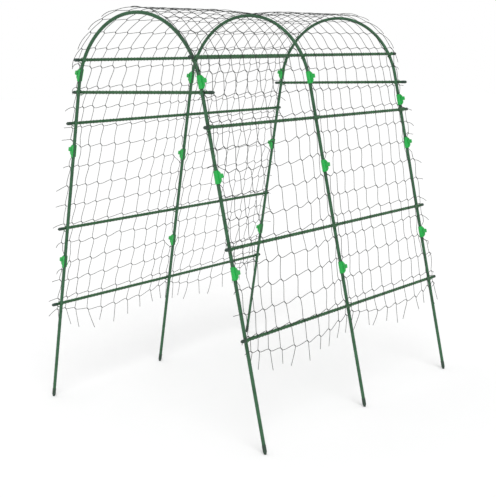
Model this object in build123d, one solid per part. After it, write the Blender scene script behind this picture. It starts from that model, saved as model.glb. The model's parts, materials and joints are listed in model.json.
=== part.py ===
from build123d import *
import math
import os

# Metal trellis arch: three hoops of plastic-coated steel tube make a walk-through tunnel.
# Eight long rods run along the tunnel, two short bars tie the legs of the end hoops, and one net
# covers both sides and the roof. Clips pinch the net to the legs and swivel on them.
#
# Frame: X across the tunnel, Y along it (front hoop at -Y), Z up, ground at Z = 0. Millimetres.

# ---------------------------------------------------------------- hoops
HOOP_HEIGHT = 1900.0        # ground to the tube axis at the crown
BASE_WIDTH = 1390.0         # between the leg axes on the ground
BEND_RADIUS = 390.0         # tube axis of the round top
HOOP_SPACING = 785.0        # between neighbouring hoops
HOOP_NAMES = ("front", "middle", "back")
SIDES = {"left": -1, "right": 1}
TUBE_DIAMETER = 16.0
TUBE_WALL = 1.0

# ---------------------------------------------------------------- joiners inside the hoop tubes
JOINER_REACH = 40.0         # length inside each of the two tubes
JOINER_WALL = 1.0
JOINER_CLEARANCE = 0.05     # radial, joiner in tube

# ---------------------------------------------------------------- rods and bars
ROD_DIAMETER = 14.0
ROD_WALL = 1.0
ROD_OVERHANG = 45.0         # side rod past the axis of an end hoop
BAR_OVERHANG = 55.0         # cross-bar past the axis of a leg
REST_GAP = 0.05             # between a rod and the tube it is tied to
SHOULDER_ROD_ANGLE = 27.8   # degrees up the bend from the horizontal through its centre
UPPER_ROD_BELOW_BEND = 185.0
WAIST_ROD_BELOW_BEND = 700.0
LOWER_ROD_HEIGHT = 496.0
BAR_BELOW_BEND = 37.0

# ---------------------------------------------------------------- end caps and foot caps
CAP_WALL = 0.8
CAP_LENGTH = 28.0
CAP_TIP_LENGTH = 6.0
CAP_TIP_RADIUS = 4.5
FOOT_WALL = 1.0
FOOT_SLEEVE_LENGTH = 30.0
FOOT_TIP_LENGTH = 12.0
FOOT_TIP_RADIUS = 5.0
FOOT_FLOOR = 2.0            # solid plastic between the tip and the tube end

# ---------------------------------------------------------------- ties
TIE_WIDTH = 3.6
TIE_THICKNESS = 1.2
TIE_SLACK = 0.1             # between the band and the tubes it holds
TIE_CORNER_RADIUS = 6.5
TIE_HEAD_DEPTH = 4.0
TIE_HEAD_LENGTH = 6.0
TIE_HEAD_WIDTH = 5.0

# ---------------------------------------------------------------- net clips
TWINE_ROOM = 1.2            # radial room for the net's twine between clip and tube
CLIP_WALL = 2.2
CLIP_LENGTH = 58.0
CLIP_MOUTH = 125.0          # degrees of the barrel left open, towards the inside of the tunnel
CLIP_LIP_RADIUS = 1.5       # rounded edge of the mouth
CLIP_LIP_SET_OUT = 0.5      # lip centre beyond the middle of the wall
CLIP_WING_THICKNESS = 3.2
CLIP_WING_ROOT = 0.2        # gap left between the bore and the inner edge of the wing
CLIP_WING_REACH = 24.0      # tube axis to the edge of the wing
CLIP_WING_END_REACH = 13.5  # the same at the ends of the clip
CLIP_WING_FULL_HEIGHT = 34.0
CLIP_TAB_REACH = 35.0       # tube axis to the edge of the thumb tab
CLIP_TAB_HEIGHT = 20.0
CLIP_TAB_DEPTH = 7.0
CLIP_TAB_ROOT = 6.0         # length of the tab that grips the wing
CLIP_TAB_RISE = 3.0         # clip centre to the middle of the tab
CLIP_CORNER_RADIUS = 4.0
CLIP_RIB_WIDTH = 2.0
CLIP_RIB_RISE = 0.7
CLIP_TURN = 25.0            # degrees each way about the tube
TIE_TO_CLIP_GAP = 3.0

# Top clips stand above the cross-bar level by these gaps, in millimetres.
TOP_CLIP_GAP_ABOVE_BAR = {
    ("front", "left"): 40.0,
    ("front", "right"): TIE_TO_CLIP_GAP,
    ("middle", "left"): 10.0,
    ("middle", "right"): TIE_TO_CLIP_GAP,
    ("back", "left"): 12.0,
}
# One top clip was pushed lower, and stands just above the upper rod.
LOW_TOP_CLIP = ("back", "right")
LOW_TOP_CLIP_GAP_ABOVE_ROD = 13.0
MIDDLE_CLIP_BELOW_BEND = {
    ("front", "left"): 315.0,
    ("front", "right"): 395.0,
    ("middle", "left"): 395.0,
    ("middle", "right"): 415.0,
    ("back", "left"): 395.0,
    ("back", "right"): 360.0,
}
BOTTOM_CLIP_HEIGHT = {
    ("front", "left"): 720.0,
    ("front", "right"): 780.0,
    ("middle", "left"): 715.0,
    ("middle", "right"): 680.0,
    ("back", "left"): 670.0,
    ("back", "right"): 745.0,
}

# ---------------------------------------------------------------- net
NET_THICKNESS = 0.6
NET_CLEARANCE = 0.4         # to the ties under it and to the crown of the hoops
NET_SHOULDER_LIFT = 3.0     # extra room where the net turns over the shoulder rods
NET_BOTTOM_HEIGHT = 410.0
NET_END_GAP = 1.0           # between the net and the cap of the front cross-bar
NET_WINDOW_MARGIN = 3.0     # round the sweep of a clip

# ---------------------------------------------------------------- derived sizes
TUBE_RADIUS = TUBE_DIAMETER / 2
TUBE_BORE_RADIUS = TUBE_RADIUS - TUBE_WALL
ROD_RADIUS = ROD_DIAMETER / 2
HALF_BASE = BASE_WIDTH / 2
BEND_CENTRE = HOOP_HEIGHT - BEND_RADIUS
CENTRE_TO_FOOT = math.hypot(HALF_BASE, BEND_CENTRE)
LEG_LENGTH = math.sqrt(CENTRE_TO_FOOT**2 - BEND_RADIUS**2)
LEAN = math.degrees(math.acos(BEND_RADIUS / CENTRE_TO_FOOT) - math.atan2(BEND_CENTRE, HALF_BASE))
BEND_HEIGHT = BEND_CENTRE + BEND_RADIUS * math.sin(math.radians(LEAN))
HOOP_Y = {name: (index - 1) * HOOP_SPACING for index, name in enumerate(HOOP_NAMES)}
ROD_OFFSET = TUBE_RADIUS + REST_GAP + ROD_RADIUS
SHOULDER_ROD_HEIGHT = BEND_CENTRE + BEND_RADIUS * math.sin(math.radians(SHOULDER_ROD_ANGLE))
UPPER_ROD_HEIGHT = BEND_HEIGHT - UPPER_ROD_BELOW_BEND
ROD_HEIGHTS = {
    "shoulder": SHOULDER_ROD_HEIGHT,
    "upper": UPPER_ROD_HEIGHT,
    "waist": BEND_HEIGHT - WAIST_ROD_BELOW_BEND,
    "lower": LOWER_ROD_HEIGHT,
}
BAR_HEIGHT = BEND_HEIGHT - BAR_BELOW_BEND
BAR_HOOPS = ("front", "back")
CAP_RADIUS = ROD_RADIUS + CAP_WALL
FOOT_RADIUS = TUBE_RADIUS + FOOT_WALL
TIE_HALF_SPAN = max(TUBE_RADIUS, ROD_RADIUS) * math.sqrt(2) + TIE_WIDTH / 2 + TIE_SLACK
TIE_OUTER_REACH = ROD_OFFSET + ROD_RADIUS + TIE_SLACK + TIE_THICKNESS
TIE_HALF_HEIGHT = (TIE_HALF_SPAN + TIE_THICKNESS + TIE_WIDTH / 2) / math.sqrt(2)
CLIP_BORE_RADIUS = TUBE_RADIUS + TWINE_ROOM
CLIP_RADIUS = CLIP_BORE_RADIUS + CLIP_WALL
NET_OFFSET = TIE_OUTER_REACH + NET_CLEARANCE
NET_SHOULDER_OFFSET = NET_OFFSET + NET_SHOULDER_LIFT
NET_ROOF_RADIUS = BEND_RADIUS + TUBE_RADIUS + NET_CLEARANCE
NET_HALF_LENGTH = HOOP_SPACING - ROD_OFFSET - CAP_RADIUS - NET_END_GAP


def hoop_station(height):
    """Return the tube axis distance from the middle of the tunnel, and the lean in degrees there."""
    if height <= BEND_HEIGHT:
        return HALF_BASE - height * math.tan(math.radians(LEAN)), LEAN
    angle = math.asin((height - BEND_CENTRE) / BEND_RADIUS)
    return BEND_RADIUS * math.cos(angle), math.degrees(angle)


def station_plane(hoop, side, height):
    """Return the plane at a height of a hoop: its z runs up the tube, its x points out of the tunnel."""
    across, lean = hoop_station(height)
    cosine = math.cos(math.radians(lean))
    sine = math.sin(math.radians(lean))
    sign = SIDES[side]
    return Plane(
        origin=(sign * across, HOOP_Y[hoop], height),
        x_dir=(sign * cosine, 0, sine),
        z_dir=(-sign * sine, 0, cosine),
    )


def pipe(outer_radius, inner_radius, length):
    """Return a round pipe that stands on the origin, along +Z."""
    return extrude(Circle(outer_radius) - Circle(inner_radius), length)


def bend(hoop, side, start_angle, end_angle, outer_radius, inner_radius):
    """Return a stretch of the round top between two angles, measured up from the horizontal."""
    sign = SIDES[side]
    start = math.radians(start_angle)
    plane = Plane(
        origin=(
            sign * BEND_RADIUS * math.cos(start),
            HOOP_Y[hoop],
            BEND_CENTRE + BEND_RADIUS * math.sin(start),
        ),
        x_dir=(0, 1, 0),
        z_dir=(-sign * math.sin(start), 0, math.cos(start)),
    )
    section = plane * (Circle(outer_radius) - Circle(inner_radius))
    axis = Axis((0, HOOP_Y[hoop], BEND_CENTRE), (0, -sign, 0))
    return revolve(section, axis, end_angle - start_angle)


def hoop_leg(hoop, side):
    """Return one straight leg tube, from the floor of its foot cap up to the bend."""
    start = FOOT_TIP_LENGTH + FOOT_FLOOR
    tube = pipe(TUBE_RADIUS, TUBE_BORE_RADIUS, LEG_LENGTH - start)
    return station_plane(hoop, side, 0) * Pos(0, 0, start) * tube


def hoop_bow(hoop, side):
    """Return one quarter bend, from the top of its leg to the crown."""
    return bend(hoop, side, LEAN, 90.0, TUBE_RADIUS, TUBE_BORE_RADIUS)


def hoop_joiners(hoop):
    """Return the three sleeves hidden inside a hoop: one at the top of each leg, one at the crown."""
    outer = TUBE_BORE_RADIUS - JOINER_CLEARANCE
    inner = outer - JOINER_WALL
    turn = math.degrees(JOINER_REACH / BEND_RADIUS)
    joiners = []
    for side in SIDES:
        straight = station_plane(hoop, side, BEND_HEIGHT) * Pos(0, 0, -JOINER_REACH)
        lower = straight * pipe(outer, inner, JOINER_REACH)
        joiners.append(lower + bend(hoop, side, LEAN, LEAN + turn, outer, inner))
    joiners.append(bend(hoop, "right", 90.0 - turn, 90.0 + turn, outer, inner))
    return joiners


def foot_cap(hoop, side):
    """Return one foot cap: a sleeve round the tube end with a blunt tip cut level with the ground."""
    tip = Cone(
        FOOT_TIP_RADIUS,
        FOOT_RADIUS,
        FOOT_TIP_LENGTH,
        align=(Align.CENTER, Align.CENTER, Align.MIN),
    )
    spike = Pos(0, 0, -FOOT_TIP_RADIUS) * pipe_plug(FOOT_TIP_RADIUS, FOOT_TIP_RADIUS)
    sleeve = Pos(0, 0, FOOT_TIP_LENGTH) * pipe_plug(FOOT_RADIUS, FOOT_SLEEVE_LENGTH)
    floor_height = FOOT_TIP_LENGTH + FOOT_FLOOR
    bore = Pos(0, 0, floor_height) * pipe_plug(TUBE_RADIUS, FOOT_SLEEVE_LENGTH)
    cap = station_plane(hoop, side, 0) * (spike + tip + sleeve - bore)
    ground_width = 8 * FOOT_RADIUS
    ground = Pos(*station_plane(hoop, side, 0).origin) * Box(
        ground_width,
        ground_width,
        ground_width,
        align=(Align.CENTER, Align.CENTER, Align.MAX),
    )
    return cap - ground


def pipe_plug(radius, length):
    """Return a solid round bar that stands on the origin, along +Z."""
    return extrude(Circle(radius), length)


def round_bar(length):
    """Return the tube of a rod, without its caps, centred on the origin along Z."""
    tube_length = length - 2 * CAP_TIP_LENGTH
    return Pos(0, 0, -tube_length / 2) * pipe(ROD_RADIUS, ROD_RADIUS - ROD_WALL, tube_length)


def bar_caps(length):
    """Return the two caps that close a rod of this length, capped ends included."""
    sleeve = pipe(CAP_RADIUS, ROD_RADIUS, CAP_LENGTH - CAP_TIP_LENGTH)
    tip = Pos(0, 0, CAP_LENGTH - CAP_TIP_LENGTH) * Cone(
        CAP_RADIUS,
        CAP_TIP_RADIUS,
        CAP_TIP_LENGTH,
        align=(Align.CENTER, Align.CENTER, Align.MIN),
    )
    cap = Pos(0, 0, length / 2 - CAP_LENGTH) * (sleeve + tip)
    return [cap, Rot(180, 0, 0) * cap]


def rod_place(side, level):
    """Return the place of a side rod: the middle of its axis, with z along the tunnel."""
    across, lean = hoop_station(ROD_HEIGHTS[level])
    x = SIDES[side] * (across + ROD_OFFSET * math.cos(math.radians(lean)))
    z = ROD_HEIGHTS[level] + ROD_OFFSET * math.sin(math.radians(lean))
    return Plane(origin=(x, 0, z), x_dir=(1, 0, 0), z_dir=(0, 1, 0))


def bar_place(hoop):
    """Return the place of a cross-bar: the middle of its axis, with z across the tunnel."""
    return Plane(origin=(0, HOOP_Y[hoop] + ROD_OFFSET, BAR_HEIGHT), x_dir=(0, 1, 0), z_dir=(1, 0, 0))


ROD_LENGTH = 2 * (HOOP_SPACING + ROD_OVERHANG)
BAR_LENGTH = 2 * (hoop_station(BAR_HEIGHT)[0] + BAR_OVERHANG)


def tie_loop():
    """Return one closed tie: x is the diagonal it crosses, y points from the leg to the rod."""
    low = -TUBE_RADIUS - TIE_SLACK
    high = ROD_OFFSET + ROD_RADIUS + TIE_SLACK
    middle = Pos(0, (low + high) / 2)
    inner_width = 2 * TIE_HALF_SPAN
    inner_height = high - low
    grow = 2 * TIE_THICKNESS
    outer = RectangleRounded(
        inner_width + grow,
        inner_height + grow,
        TIE_CORNER_RADIUS + TIE_THICKNESS,
    )
    inner = RectangleRounded(inner_width, inner_height, TIE_CORNER_RADIUS)
    band = extrude(middle * (outer - inner), TIE_WIDTH / 2, both=True)
    head = Pos(-TIE_HALF_SPAN - TIE_HEAD_DEPTH / 2, (low + high) / 2, 0) * Box(
        TIE_HEAD_DEPTH,
        TIE_HEAD_LENGTH,
        TIE_HEAD_WIDTH,
    )
    return band + head


def tie_at(centre, to_rod, up_tube, along_rod):
    """Return a tie round a tube and the rod on it, laid along the diagonal of the crossing."""
    diagonal = (Vector(*up_tube) + Vector(*along_rod)).normalized()
    outward = Vector(*to_rod)
    plane = Plane(origin=centre, x_dir=diagonal, z_dir=diagonal.cross(outward))
    return plane * tie_loop()


def hoop_ties(hoop):
    """Return every tie of one hoop: one at each rod, and one at each end of its cross-bar."""
    ties = []
    for side in SIDES:
        for level in ROD_HEIGHTS:
            plane = station_plane(hoop, side, ROD_HEIGHTS[level])
            ties.append(tie_at(plane.origin, plane.x_dir, plane.z_dir, (0, 1, 0)))
        if hoop in BAR_HOOPS:
            plane = station_plane(hoop, side, BAR_HEIGHT)
            ties.append(tie_at(plane.origin, (0, 1, 0), plane.z_dir, (SIDES[side], 0, 0)))
    return ties


def clip_height(hoop, side, level):
    """Return the height of the middle of one net clip."""
    key = (hoop, side)
    half = CLIP_LENGTH / 2
    if level == "middle":
        return BEND_HEIGHT - MIDDLE_CLIP_BELOW_BEND[key]
    if level == "bottom":
        return BOTTOM_CLIP_HEIGHT[key]
    if key == LOW_TOP_CLIP:
        return UPPER_ROD_HEIGHT + TIE_HALF_HEIGHT + LOW_TOP_CLIP_GAP_ABOVE_ROD + half
    return BAR_HEIGHT + TIE_HALF_HEIGHT + TOP_CLIP_GAP_ABOVE_BAR[key] + half


def clip_wing():
    """Return the flat outline of the wing in the x-y plane: x points out, y runs up the tube."""
    root = CLIP_BORE_RADIUS + CLIP_WING_ROOT
    end = CLIP_LENGTH / 2
    full = CLIP_WING_FULL_HEIGHT / 2
    outline = make_face(
        Polyline(
            (root, -end),
            (CLIP_WING_END_REACH, -end),
            (CLIP_WING_REACH, -full),
            (CLIP_WING_REACH, full),
            (CLIP_WING_END_REACH, end),
            (root, end),
            close=True,
        )
    )
    corners = outline.vertices().group_by(Axis.X)[1:]
    return fillet([corner for group in corners for corner in group], CLIP_CORNER_RADIUS)


def clip_mouth():
    """Return the wedge that opens the barrel towards the inside of the tunnel."""
    depth = 2 * CLIP_RADIUS
    half_width = depth * math.tan(math.radians(CLIP_MOUTH / 2))
    wedge = make_face(Polyline((0, 0), (-depth, half_width), (-depth, -half_width), close=True))
    return extrude(wedge, CLIP_LENGTH, both=True)


def net_clip():
    """Return one clip at the origin: z up the tube, x out of the tunnel, its mouth facing in."""
    barrel = Pos(0, 0, -CLIP_LENGTH / 2) * pipe(CLIP_RADIUS, CLIP_BORE_RADIUS, CLIP_LENGTH)
    rib = pipe(CLIP_RADIUS + CLIP_RIB_RISE, CLIP_BORE_RADIUS, CLIP_RIB_WIDTH)
    for z in (-CLIP_LENGTH / 2, CLIP_LENGTH / 2 - CLIP_RIB_WIDTH):
        barrel += Pos(0, 0, z) * rib
    clip = barrel - clip_mouth()
    lip_reach = CLIP_BORE_RADIUS + CLIP_WALL / 2 + CLIP_LIP_SET_OUT
    lip_turn = math.radians(180 - CLIP_MOUTH / 2)
    for turn in (lip_turn, -lip_turn):
        place = Pos(lip_reach * math.cos(turn), lip_reach * math.sin(turn), -CLIP_LENGTH / 2)
        clip += place * pipe_plug(CLIP_LIP_RADIUS, CLIP_LENGTH)
    upright = Plane(origin=(0, 0, 0), x_dir=(1, 0, 0), z_dir=(0, -1, 0))
    clip += extrude(upright * clip_wing(), CLIP_WING_THICKNESS / 2, both=True)
    tab_start = CLIP_WING_REACH - CLIP_TAB_ROOT
    tab_width = CLIP_TAB_REACH - tab_start
    tab = Pos(tab_start + tab_width / 2, 0, CLIP_TAB_RISE) * Box(
        tab_width,
        CLIP_TAB_DEPTH,
        CLIP_TAB_HEIGHT,
    )
    return clip + fillet(tab.edges().filter_by(Axis.Y).group_by(Axis.X)[-1], CLIP_CORNER_RADIUS)


def placed_clip(hoop, side, level):
    """Return the clip of one leg and level in its place."""
    return station_plane(hoop, side, clip_height(hoop, side, level)) * net_clip()


def clip_window(hoop, side, level):
    """Return the space that a clip's wing and tab sweep through where they pass the net."""
    half_width = CLIP_TAB_REACH * math.sin(math.radians(CLIP_TURN)) + CLIP_TAB_DEPTH / 2
    window = Pos(CLIP_TAB_REACH, 0, 0) * Box(
        2 * (CLIP_TAB_REACH - CLIP_BORE_RADIUS),
        2 * (half_width + NET_WINDOW_MARGIN),
        CLIP_LENGTH + 2 * NET_WINDOW_MARGIN,
    )
    return station_plane(hoop, side, clip_height(hoop, side, level)) * window


def offset_point(side, height, offset):
    """Return a point this far out from the hoop's axis line at a height, in X and Z."""
    across, lean = hoop_station(height)
    x = SIDES[side] * (across + offset * math.cos(math.radians(lean)))
    return x, height + offset * math.sin(math.radians(lean))


def along_tunnel(outline):
    """Return a solid the length of the net from a closed outline given in X and Z."""
    upright = Plane(origin=(0, 0, 0), x_dir=(1, 0, 0), z_dir=(0, -1, 0))
    return extrude(upright * outline, NET_HALF_LENGTH, both=True)


def net_side(side):
    """Return one side of the net, from its hem to the shoulder rod, open round the middle clips."""
    corners = (
        (NET_BOTTOM_HEIGHT, NET_OFFSET),
        (UPPER_ROD_HEIGHT, NET_OFFSET),
        (SHOULDER_ROD_HEIGHT, NET_SHOULDER_OFFSET),
    )
    inner = [offset_point(side, height, offset) for height, offset in corners]
    outer = [offset_point(side, height, offset + NET_THICKNESS) for height, offset in corners]
    outline = make_face(Polyline(*inner, *reversed(outer), close=True))
    panel = along_tunnel(outline)
    for level in ("top", "middle", "bottom"):
        panel -= clip_window("middle", side, level)
    return panel


def net_roof():
    """Return the roof of the net: tight over the crown, and out over the shoulder rods."""
    rise = math.acos(NET_ROOF_RADIUS / (BEND_RADIUS + NET_SHOULDER_OFFSET))
    touch = math.radians(SHOULDER_ROD_ANGLE) + rise
    lines = []
    ends = []
    for extra in (0.0, NET_THICKNESS):
        radius = NET_ROOF_RADIUS + extra
        x = radius * math.cos(touch)
        z = BEND_CENTRE + radius * math.sin(touch)
        right = offset_point("right", SHOULDER_ROD_HEIGHT, NET_SHOULDER_OFFSET + extra)
        left = offset_point("left", SHOULDER_ROD_HEIGHT, NET_SHOULDER_OFFSET + extra)
        lines.append(Line(right, (x, z)))
        lines.append(ThreePointArc((x, z), (0, BEND_CENTRE + radius), (-x, z)))
        lines.append(Line((-x, z), left))
        ends.append((left, right))
    lines.append(Line(ends[0][0], ends[1][0]))
    lines.append(Line(ends[0][1], ends[1][1]))
    return along_tunnel(make_face(lines))


def write(name, *solids):
    """Write one node's solids to its own file."""
    shape = solids[0] if len(solids) == 1 else Compound(children=list(solids))
    export_step(shape, f"parts/{name}.step")


def main():
    os.makedirs("parts", exist_ok=True)
    for hoop in HOOP_NAMES:
        for side in SIDES:
            write(f"{hoop}_{side}_leg", hoop_leg(hoop, side))
            write(f"{hoop}_{side}_bow", hoop_bow(hoop, side))
            for level in ("top", "middle", "bottom"):
                write(f"{hoop}_{side}_{level}_clip", placed_clip(hoop, side, level))
        write(f"{hoop}_hoop_joiners", *hoop_joiners(hoop))
        write(f"{hoop}_hoop_ties", *hoop_ties(hoop))
    write("foot_caps", *[foot_cap(hoop, side) for hoop in HOOP_NAMES for side in SIDES])
    caps = []
    for side in SIDES:
        for level in ROD_HEIGHTS:
            place = rod_place(side, level)
            write(f"{side}_{level}_rod", place * round_bar(ROD_LENGTH))
            caps += [place * cap for cap in bar_caps(ROD_LENGTH)]
    for hoop in BAR_HOOPS:
        place = bar_place(hoop)
        write(f"{hoop}_cross_bar", place * round_bar(BAR_LENGTH))
        caps += [place * cap for cap in bar_caps(BAR_LENGTH)]
    write("rod_end_caps", *caps)
    write("net_left_side", net_side("left"))
    write("net_right_side", net_side("right"))
    write("net_roof", net_roof())


main()
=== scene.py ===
import json
import math
import random

import bpy
import numpy as np
from mathutils import Matrix, Vector, noise


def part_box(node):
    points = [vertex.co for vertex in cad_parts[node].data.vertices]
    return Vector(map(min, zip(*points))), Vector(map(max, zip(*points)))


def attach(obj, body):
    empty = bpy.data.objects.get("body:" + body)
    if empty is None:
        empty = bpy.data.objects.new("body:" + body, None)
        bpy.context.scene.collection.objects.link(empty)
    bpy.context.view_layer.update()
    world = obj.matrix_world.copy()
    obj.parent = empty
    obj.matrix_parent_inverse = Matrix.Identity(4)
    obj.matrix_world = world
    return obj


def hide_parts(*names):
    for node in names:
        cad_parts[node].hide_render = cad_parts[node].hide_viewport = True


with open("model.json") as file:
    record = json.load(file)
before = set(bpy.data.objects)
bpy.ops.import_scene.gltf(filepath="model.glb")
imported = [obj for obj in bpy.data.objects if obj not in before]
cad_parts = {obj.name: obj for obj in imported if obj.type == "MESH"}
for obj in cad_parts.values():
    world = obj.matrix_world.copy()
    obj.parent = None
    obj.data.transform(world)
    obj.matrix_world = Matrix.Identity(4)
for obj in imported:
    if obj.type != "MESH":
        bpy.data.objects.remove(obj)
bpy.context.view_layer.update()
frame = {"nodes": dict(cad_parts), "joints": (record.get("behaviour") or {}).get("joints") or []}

bl_info = {
    "name": "Garden Trellis Arch",
    "version": (1, 0, 0),
    "blender": (4, 5, 0),
    "location": "View3D > Sidebar > Trellis",
    "description": "Dresses the packed trellis arch: nubbed coating, knotted net, moulded clips and a studio",
    "category": "Add Mesh",
}

HOOPS = ("front", "middle", "back")
SIDES = {"left": -1, "right": 1}
LEVELS = ("top", "middle", "bottom")
ROD_LEVELS = ("shoulder", "upper", "waist", "lower")


# ------------------------------------------------------------------------------------ the arch
class Arch:
    """The centre line of the hoops and the lines of the rods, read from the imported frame."""

    def __init__(self):
        self.joints = {joint["name"]: joint for joint in frame["joints"]}
        low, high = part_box("front_left_leg")
        self.tube_radius = (high.y - low.y) / 2
        clip = self.joints["front_right_bottom_clip_swivel"]
        self.lean = math.atan2(abs(clip["axis"][0]), clip["axis"][2])
        self.half_base = clip["pos_m"][0] + clip["pos_m"][2] * math.tan(self.lean)
        self.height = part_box("front_left_bow")[1].z - self.tube_radius
        sine, cosine = math.sin(self.lean), math.cos(self.lean)
        self.bend_radius = (self.half_base * cosine - self.height * sine) / (1 - sine)
        self.bend_centre = self.height - self.bend_radius
        self.bend_height = self.bend_centre + self.bend_radius * sine
        self.hoop_y = {}
        for hoop in HOOPS:
            low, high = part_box(f"{hoop}_left_leg")
            self.hoop_y[hoop] = (low.y + high.y) / 2
        self.bay = self.hoop_y["back"] - self.hoop_y["middle"]
        low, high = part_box("right_lower_rod")
        self.rod_radius = (high.x - low.x) / 2
        self.rods = {}
        for level in ROD_LEVELS:
            low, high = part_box(f"right_{level}_rod")
            self.rods[level] = ((low.x + high.x) / 2, (low.z + high.z) / 2)

    def hoop_line(self, foot_clearance, step):
        """Return points in X and Z up the left leg, over the crown and down the right leg."""
        start = foot_clearance * math.cos(self.lean)
        right = [(self.half_base - start * math.tan(self.lean), start)]
        turn = math.pi / 2 - self.lean
        steps = round(turn * self.bend_radius / step)
        for index in range(steps + 1):
            angle = self.lean + turn * index / steps
            x = self.bend_radius * math.cos(angle)
            right.append((x, self.bend_centre + self.bend_radius * math.sin(angle)))
        left = [(-x, z) for x, z in right]
        return left + right[-2::-1]


arch = Arch()


# ------------------------------------------------------------------------------------ settings
class CoatingSettings(bpy.types.PropertyGroup):
    """Sizes and colours of the plastic-coated tubes and rods."""

    tube_green: bpy.props.FloatVectorProperty(
        name="Tube Green",
        description="Colour of the coating on the hoops",
        subtype="COLOR",
        default=(0.034, 0.102, 0.050),
        min=0.0,
        max=1.0,
    )
    rod_green: bpy.props.FloatVectorProperty(
        name="Rod Green",
        description="Colour of the coating on the rods and cross-bars",
        subtype="COLOR",
        default=(0.028, 0.092, 0.038),
        min=0.0,
        max=1.0,
    )
    cap_green: bpy.props.FloatVectorProperty(
        name="Cap Green",
        description="Colour of the caps on the rod ends",
        subtype="COLOR",
        default=(0.013, 0.040, 0.024),
        min=0.0,
        max=1.0,
    )
    tube_nub_pitch: bpy.props.FloatProperty(
        name="Tube Nub Pitch",
        description="Distance from one ring of nubs to the next on the hoops",
        unit="LENGTH",
        default=0.018,
    )
    tube_nub_base: bpy.props.FloatProperty(
        name="Tube Nub Base Radius",
        description="Radius of a nub where it meets a hoop",
        unit="LENGTH",
        default=0.0021,
    )
    tube_nub_height: bpy.props.FloatProperty(
        name="Tube Nub Height",
        description="Height of the nubs on the hoops",
        unit="LENGTH",
        default=0.0007,
    )
    rod_nub_pitch: bpy.props.FloatProperty(
        name="Rod Nub Pitch",
        description="Distance from one ring of nubs to the next on the rods and cross-bars",
        unit="LENGTH",
        default=0.011,
    )
    rod_nub_base: bpy.props.FloatProperty(
        name="Rod Nub Base Radius",
        description="Radius of a nub where it meets a rod or a cross-bar",
        unit="LENGTH",
        default=0.0028,
    )
    rod_nub_height: bpy.props.FloatProperty(
        name="Rod Nub Height",
        description="Height of the nubs on the rods and cross-bars",
        unit="LENGTH",
        default=0.0019,
    )


class NetSettings(bpy.types.PropertyGroup):
    """Sizes and colour of the knotted net."""

    twine_colour: bpy.props.FloatVectorProperty(
        name="Twine Colour",
        description="Colour of the net's twine",
        subtype="COLOR",
        default=(0.020, 0.027, 0.023),
        min=0.0,
        max=1.0,
    )
    twine_radius: bpy.props.FloatProperty(
        name="Twine Radius",
        description="Radius of one twine",
        unit="LENGTH",
        default=0.0013,
    )
    row_pitch: bpy.props.FloatProperty(
        name="Row Pitch",
        description="Distance between the rows, measured over the crown",
        unit="LENGTH",
        default=0.100,
    )
    cells_per_bay: bpy.props.IntProperty(
        name="Cells Per Bay",
        description="Cells between one hoop and the next",
        default=10,
        min=2,
    )
    knot_reach: bpy.props.FloatProperty(
        name="Knot Reach",
        description="Half the length along which two twines are twisted together at a knot",
        unit="LENGTH",
        default=0.0055,
    )
    seed: bpy.props.IntProperty(
        name="Seed",
        description="Seed of the slack, the uneven cells and the loose tails",
        default=7,
        min=1,                     # a seed of 0 would be taken from the clock
    )


class ClipSettings(bpy.types.PropertyGroup):
    """Colours of the net clips, the ties and the foot caps."""

    clip_green: bpy.props.FloatVectorProperty(
        name="Clip Green",
        description="Colour of the moulded net clips",
        subtype="COLOR",
        default=(0.008, 0.360, 0.055),
        min=0.0,
        max=1.0,
    )
    tie_green: bpy.props.FloatVectorProperty(
        name="Tie Green",
        description="Colour of the ties at the crossings",
        subtype="COLOR",
        default=(0.028, 0.150, 0.048),
        min=0.0,
        max=1.0,
    )
    foot_green: bpy.props.FloatVectorProperty(
        name="Foot Green",
        description="Colour of the foot caps",
        subtype="COLOR",
        default=(0.016, 0.042, 0.025),
        min=0.0,
        max=1.0,
    )


class StageSettings(bpy.types.PropertyGroup):
    """The studio: floor, light and camera."""

    floor_colour: bpy.props.FloatVectorProperty(
        name="Floor Colour",
        description="Colour of the pale floor",
        subtype="COLOR",
        default=(0.88, 0.88, 0.88),
        min=0.0,
        max=1.0,
    )
    sky_strength: bpy.props.FloatProperty(
        name="Sky Strength",
        description="Strength of the soft white light from all round",
        default=0.68,
    )
    camera_place: bpy.props.FloatVectorProperty(
        name="Camera Place",
        description="Where the camera stands",
        subtype="TRANSLATION",
        unit="LENGTH",
        default=(3.390, -4.146, 1.673),
    )
    camera_yaw: bpy.props.FloatProperty(
        name="Camera Yaw",
        description="Turn of the camera from +Y towards -X",
        subtype="ANGLE",
        default=math.radians(39.461),
    )
    camera_dip: bpy.props.FloatProperty(
        name="Camera Dip",
        description="Turn of the camera below the horizon",
        subtype="ANGLE",
        default=math.radians(10.095),
    )
    camera_roll: bpy.props.FloatProperty(
        name="Camera Roll",
        description="Turn of the camera about its own axis",
        subtype="ANGLE",
        default=math.radians(-1.274),
    )
    camera_lens: bpy.props.FloatProperty(
        name="Camera Lens",
        description="Focal length in millimetres on a 36 mm wide sensor",
        default=76.07,
    )


# ------------------------------------------------------------------------------- node helpers
def add_node(tree, kind, inputs=None, **options):
    """Add a node, set its options, and fill its inputs with values or with links."""
    node = tree.nodes.new(kind)
    for key, value in options.items():
        setattr(node, key, value)
    for key, value in (inputs or {}).items():
        if isinstance(value, bpy.types.NodeSocket):
            tree.links.new(value, node.inputs[key])
        else:
            node.inputs[key].default_value = value
    return node


def math_node(tree, operation, first, second=0.0):
    """Return the output of a math node."""
    return add_node(tree, "ShaderNodeMath", {0: first, 1: second}, operation=operation).outputs[0]


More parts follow.
